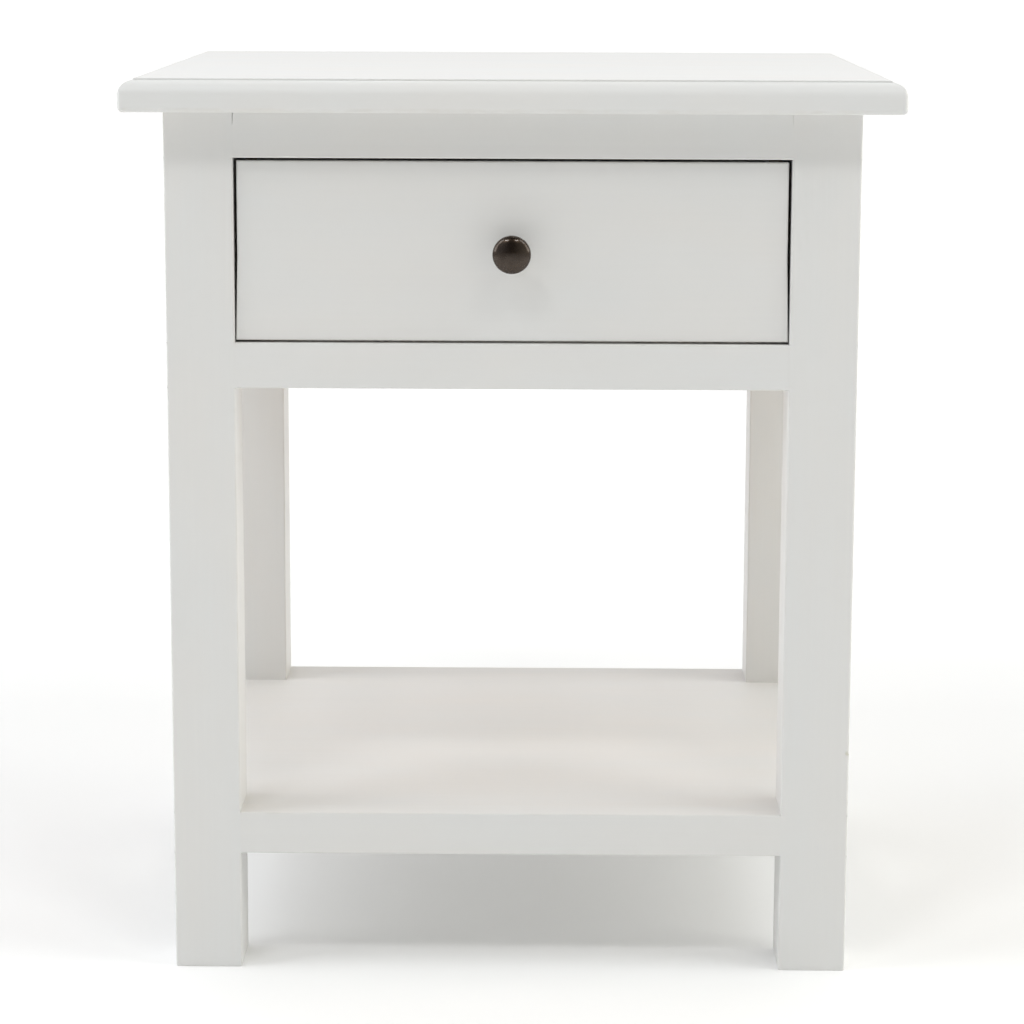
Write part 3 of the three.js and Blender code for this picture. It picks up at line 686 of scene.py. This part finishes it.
def revolved(rings, segments):
    """A closed bmesh along +Z from (radius, height, eased) rings; a radius of 0 is a pole."""
    bm = bmesh.new()
    eased = bm.faces.layers.int.new("eased")
    loops = []
    for radius, height, worn in rings:
        if radius == 0:
            loops.append(([bm.verts.new((0, 0, height))], worn))
        else:
            loops.append((circle(bm, radius, height, segments), worn))
    for (lower, worn), (upper, _) in zip(loops, loops[1:]):
        for index in range(segments):
            after = (index + 1) % segments
            corners = [lower[index % len(lower)], lower[after % len(lower)]]
            corners += [upper[after % len(upper)], upper[index % len(upper)]]
            unique = list(dict.fromkeys(corners))
            face = bm.faces.new(unique)
            face[eased] = worn
    return bm


def between(p, q, r, s, t):
    """The Catmull-Rom curve through four values, from q at t = 0 to r at t = 1."""
    square = 2 * p - 5 * q + 4 * r - s
    cube = 3 * q - p - 3 * r + s
    return 0.5 * (2 * q + (r - p) * t + square * t**2 + cube * t**3)


def curve_through(points, steps):
    """A smooth curve through the (radius, height) points."""
    ends = [points[0], *points, points[-1]]
    found = []
    for near in zip(ends, ends[1:], ends[2:], ends[3:]):
        for step in range(steps):
            found.append(tuple(between(*values, step / steps) for values in zip(*near)))
    return found + [points[-1]]


def finish_knob():
    """The mushroom knob: a foot, a waisted neck, a soft rim and a domed face."""
    low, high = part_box("knob")
    length = high.y - low.y
    radius = (high.x - low.x) / 2
    rim = 0.79 * length
    bore = 2.3 * MM
    depth = 0.5 * length
    foot = [(0.60, 0), (0.635, 0.008), (0.64, 0.03), (0.635, 0.055), (0.60, 0.065)]
    neck = [(0.57, 0.07), (0.48, 0.125), (0.425, 0.27), (0.435, 0.50), (0.52, 0.61), (0.76, 0.665)]
    lip = [(0.92, 0.705), (0.98, 0.745), (1.0, 0.79)]
    rings = [(0, depth, 0), (bore, depth, 0), (bore, 0, 0)]
    for share, height in curve_through(foot, 4) + curve_through(neck + lip, 6):
        rings.append((share * radius, height * length, 1 if height > 0.7 else 0))
    steps = 22
    for step in range(1, steps):
        angle = step / steps * math.pi / 2
        worn = 1 if step < 4 else 0
        rings.append((radius * math.cos(angle), rim + (length - rim) * math.sin(angle), worn))
    rings.append((0, length, 0))
    bm = revolved(rings, 72)
    turn = Matrix.Rotation(math.pi / 2, 4, "X")
    bm.transform(Matrix.Translation(((low.x + high.x) / 2, high.y, (low.z + high.z) / 2)) @ turn)
    piece(bm, "knob", "drawer", BRONZE, "x", smooth_angle=50)


def thread_radius(shank, angle, height):
    """A screw's radius at an angle and a height: a core with a sharp helical ridge."""
    turn = (height / THREAD_PITCH - angle / math.tau) % 1
    ridge = max(0, 1 - abs(turn - 0.5) * 4)
    return shank - THREAD_DEPTH * (1 - ridge)


def cross_recess(bm, rim, height, depth):
    """Fills the ring of vertices on a screw's head with a face that has a cross sunk in it."""
    half, reach = 0.11, 0.42  # of the cross's arms, as shares of the ring's diameter
    arm = [(reach, -half), (reach, half), (half, half)]
    outline = []
    for quarter in range(4):
        turn = Matrix.Rotation(quarter * math.pi / 2, 2)
        outline += [turn @ Vector(point) for point in arm]
    radius = rim[0].co.xy.length
    scale = 2 * radius
    upper = [bm.verts.new((scale * p.x, scale * p.y, height)) for p in outline]
    lower = [bm.verts.new((0.6 * scale * p.x, 0.6 * scale * p.y, height + depth)) for p in outline]
    edges = [bm.edges.get((a, b)) for a, b in zip(rim, rim[1:] + rim[:1])]
    edges += [bm.edges.new((a, b)) for a, b in zip(upper, upper[1:] + upper[:1])]
    bmesh.ops.triangle_fill(bm, edges=edges, use_beauty=True)
    count = len(outline)
    for index in range(count):
        after = (index + 1) % count
        bm.faces.new((upper[index], upper[after], lower[after], lower[index]))
    bm.faces.new(lower)


def screw_mesh(length, head_radius, shank, point):
    """A pan-head wood screw along +Z, its point up and its head below z = 0."""
    segments = 16
    per_turn = 6  # rings for each turn of the thread
    rings = [
        (0.62 * head_radius, -SCREW_HEAD_HEIGHT), (0.80 * head_radius, -0.93 * SCREW_HEAD_HEIGHT),
        (0.93 * head_radius, -0.78 * SCREW_HEAD_HEIGHT), (head_radius, -0.55 * SCREW_HEAD_HEIGHT),
        (head_radius, -0.1 * SCREW_HEAD_HEIGHT), (0.97 * head_radius, 0), (0.98 * shank, 0),
    ]
    bm = bmesh.new()
    loops = []
    angles = [math.tau * index / segments for index in range(segments)]
    for radius, height in rings:
        loops.append(circle(bm, radius, height, segments))
    start = 1 * MM
    turns = (length - start) / THREAD_PITCH
    count = round(per_turn * turns)
    for step in range(count + 1):
        height = start + (length - start) * step / count
        taper = min(1, 0.06 + 0.94 * (length - height) / point)
        ring = []
        for a in angles:
            radius = thread_radius(shank, a, height) * taper
            ring.append(bm.verts.new((radius * math.cos(a), radius * math.sin(a), height)))
        loops.append(ring)
    for lower, upper in zip(loops, loops[1:]):
        for index in range(segments):
            after = (index + 1) % segments
            bm.faces.new((lower[index], lower[after], upper[after], upper[index]))
    bm.faces.new(loops[-1])
    cross_recess(bm, loops[0], -SCREW_HEAD_HEIGHT, 0.62 * SCREW_HEAD_HEIGHT)
    return bm


def head_end(node, number):
    """The sign of the end where a fastener is widest, along an axis given by its number."""
    low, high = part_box(node)
    centre = (low + high) / 2
    widest = 0
    sign = 1
    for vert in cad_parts[node].data.vertices:
        offset = vert.co - centre
        reach = Vector([offset[i] for i in range(3) if i != number]).length
        if reach > widest + MERGE:
            widest, sign = reach, math.copysign(1, offset[number])
    return sign


def fastener_place(node):
    """Where a CAD fastener's head is, its turn from +Z, its direction, length and head radius."""
    low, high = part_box(node)
    size = high - low
    number = max(range(3), key=lambda i: size[i])
    sign = head_end(node, number)
    centre = (low + high) / 2
    tip = Vector([0, 0, 0])
    tip[number] = -sign
    head = centre.copy()
    head[number] = high[number] if sign > 0 else low[number]
    turn = tip.to_track_quat("Z", "Y").to_matrix().to_4x4()
    return head, turn, tip, size[number], min(size) / 2


def finish_screw(node, body, point):
    """A screw with a point of the given length, turned by chance as a driver leaves it."""
    head, turn, tip, length, head_radius = fastener_place(node)
    bm = screw_mesh(length - SCREW_HEAD_HEIGHT, head_radius, SCREW_SHANK, point)
    spin = Matrix.Rotation(rng.uniform(0, math.tau), 4, "Z")
    bm.transform(Matrix.Translation(head + tip * SCREW_HEAD_HEIGHT) @ turn @ spin)
    piece(bm, node, body, STEEL, "z", smooth_angle=50)


def finish_pin(node):
    """A flat-headed nail with a diamond point."""
    head, turn, tip, length, head_radius = fastener_place(node)
    shank = head_radius / 2
    rings = [
        (0, 0, 0), (0.88 * head_radius, 0, 1), (head_radius, 0.12 * MM, 1),
        (head_radius, 0.55 * MM, 0), (1.15 * shank, 0.85 * MM, 0), (shank, 1.4 * MM, 0),
    ]
    rings += [(shank, length - 3 * MM, 0), (0, length, 0)]
    bm = revolved(rings, 20)
    bm.transform(Matrix.Translation(head) @ turn)
    piece(bm, node, "drawer", STEEL, "z", smooth_angle=50)


# ---------------------------------------------------------------- The table

for end in ENDS:
    for side in SIDES:
        finish_leg(end, side)
for node in RAILS["front"] + RAILS["back"]:
    finish_rail(node, "x")
for node in RAILS["left"] + RAILS["right"]:
    finish_rail(node, "y")
finish_top_board()
finish_shelf()
for end in ENDS:
    finish_board(f"shelf_cleat_{end}", "carcass", WHITE, "x")
for side in SIDES:
    for part in ("runner", "guide", "kicker", "stop"):
        axis = "z" if part == "stop" else "y"
        finish_board(f"drawer_{part}_{side}", "carcass", RUNNER_WOOD, axis)
    finish_board(f"drawer_side_{side}", "drawer", DRAWER_WOOD, "y")
    finish_pin(f"bottom_pin_{side}")
finish_board("drawer_back", "drawer", DRAWER_WOOD, "x")
finish_drawer_front()
finish_drawer_bottom()
finish_knob()
for kind in ("top", "runner", "guide", "shelf"):
    for end in ENDS:
        for side in SIDES:
            finish_screw(f"{kind}_screw_{end}_{side}", "carcass", 5 * MM)
finish_screw("knob_screw", "drawer", 1 * MM)

# ---------------------------------------------------------------- Studio

TARGET = Vector((0, 0, 0.35))  # what every softbox faces
WORLD_REACH = (-0.2, 0.9)  # how far round each side's light fades in
WORLD_SIDES = [  # axis, direction along it, colour
    ("Y", 1, (0.81, 0.80, 0.81)),
    ("X", -1, (0.52, 0.53, 0.56)),
    ("X", 1, (0.64, 0.63, 0.57)),
]
SOFTBOXES = [  # name, azimuth, elevation (degrees), distance, width, height (metres), radiance, colour
    ("key_left", -27, 51.5, 3.6, 0.75, 0.33, 17.8, (0.98, 0.99, 1.0)),
    ("key_right", 27, 51.5, 3.6, 0.75, 0.33, 13.8, (1.0, 0.99, 0.97)),
    ("side_left", -80, 22, 2.6, 1.5, 1.2, 2.8, (1.0, 1.0, 1.0)),
    ("side_right", 80, 22, 2.6, 1.5, 1.2, 2.5, (1.0, 1.0, 0.97)),
    ("high_left", -75, 48, 3.2, 1.6, 1.2, 3.2, (0.94, 0.97, 1.0)),
    ("high_right", 75, 48, 3.2, 1.6, 1.2, 3.2, (0.94, 0.97, 1.0)),
]
FLOOR_DARK, FLOOR_PALE = (0.90, 0.90, 0.89), (0.92, 0.92, 0.915)
FLOOR_GLOW = 0.08  # in front of the table and close to it
FLOOR_GLOW_FAR = 0.5
FLOOR_NEAR, FLOOR_FAR = 0.5, 3.0  # distances behind the table between which the glow grows


def softbox(name, azimuth, elevation, distance, width, height, radiance, colour):
    """A rectangular light that faces the table; azimuth 0 is in front, 90 at the right."""
    a, e = math.radians(azimuth), math.radians(elevation)
    away = Vector((math.sin(a) * math.cos(e), -math.cos(a) * math.cos(e), math.sin(e)))
    data = bpy.data.lights.new(name, "AREA")
    data.shape = "RECTANGLE"
    data.size, data.size_y = width, height
    data.energy = radiance * math.pi * width * height
    data.color = colour
    light = bpy.data.objects.new(name, data)
    light.location = TARGET + away * distance
    light.rotation_euler = away.to_track_quat("Z", "Y").to_euler()
    bpy.context.scene.collection.objects.link(light)


def studio_world():
    """Soft light from behind the table and from both sides, and none from the front."""
    world = bpy.data.worlds.new("studio")
    world.use_nodes = True
    add, link = node_helpers(world.node_tree)
    split = add("ShaderNodeSeparateXYZ")
    link(add("ShaderNodeTexCoord").outputs["Generated"], split.inputs["Vector"])
    total = None
    for axis, sign, colour in WORLD_SIDES:
        low, high = (sign * reach for reach in WORLD_REACH)
        share = ramp(add, link, split.outputs[axis], low, high)
        share.node.interpolation_type = "SMOOTHSTEP"
        light = mixed(add, link, share, (0, 0, 0), colour)
        if total is None:
            total = light
            continue
        added = add("ShaderNodeVectorMath", operation="ADD")
        link(total, added.inputs[0])
        link(light, added.inputs[1])
        total = added.outputs["Vector"]
    link(total, world.node_tree.nodes["Background"].inputs["Color"])
    bpy.context.scene.world = world


def studio_floor():
    """A wide, pale floor that glows a little, so that it stays white far away."""
    bm = bmesh.new()
    bmesh.ops.create_circle(bm, cap_ends=True, radius=60, segments=96)
    mesh = bpy.data.meshes.new("floor")
    bm.to_mesh(mesh)
    bm.free()
    material, shader, add, link = new_material("floor")
    place = add("ShaderNodeTexCoord").outputs["Object"]
    noise = add("ShaderNodeTexNoise")
    noise.inputs["Scale"].default_value = 3
    link(place, noise.inputs["Vector"])
    tone = mixed(add, link, noise.outputs["Fac"], FLOOR_DARK, FLOOR_PALE)
    link(tone, shader.inputs["Base Color"])
    shader.inputs["Roughness"].default_value = 0.7
    shader.inputs["Specular IOR Level"].default_value = 0.2
    split = add("ShaderNodeSeparateXYZ")
    link(place, split.inputs["Vector"])
    glow = ramp(add, link, split.outputs["Y"], FLOOR_NEAR, FLOOR_FAR, FLOOR_GLOW, FLOOR_GLOW_FAR)
    link(glow, shader.inputs["Emission Strength"])
    shader.inputs["Emission Color"].default_value = (1, 1, 1, 1)
    mesh.materials.append(material)
    floor = bpy.data.objects.new("floor", mesh)
    bpy.context.scene.collection.objects.link(floor)
    floor.location.z = CAD_BOX[0].z


CAMERA_DISTANCE = 1.9674  # metres in front of the legs' front faces
CAMERA_SIDE = 0.0223  # metres right of the middle
CAMERA_HEIGHT = 0.6959
CAMERA_DOWN = 9.762  # degrees
CAMERA_LEFT = 0.638
CAMERA_ROLL = 0.18
CAMERA_SHIFT = -0.0615  # as a share of the picture
CAMERA_LENS = 106.64  # millimetres, as is the sensor
CAMERA_SENSOR = 36


def camera():
    """The view from the front, a little above the table's top."""
    data = bpy.data.cameras.new("camera")
    data.sensor_width = CAMERA_SENSOR
    data.lens = CAMERA_LENS
    data.shift_y = CAMERA_SHIFT
    data.clip_end = 200
    obj = bpy.data.objects.new("camera", data)
    turns = [(CAMERA_LEFT, "Z"), (90 - CAMERA_DOWN, "X"), (CAMERA_ROLL, "Z")]
    turn = Matrix.Identity(4)
    for angle, axis in turns:
        turn = turn @ Matrix.Rotation(math.radians(angle), 4, axis)
    place = Vector((CAMERA_SIDE, FRONT_Y - CAMERA_DISTANCE, CAMERA_HEIGHT))
    obj.matrix_world = Matrix.Translation(place) @ turn
    bpy.context.scene.collection.objects.link(obj)
    bpy.context.scene.camera = obj


studio_floor()
studio_world()
for values in SOFTBOXES:
    softbox(*values)
camera()
bpy.context.scene.view_settings.view_transform = "Standard"
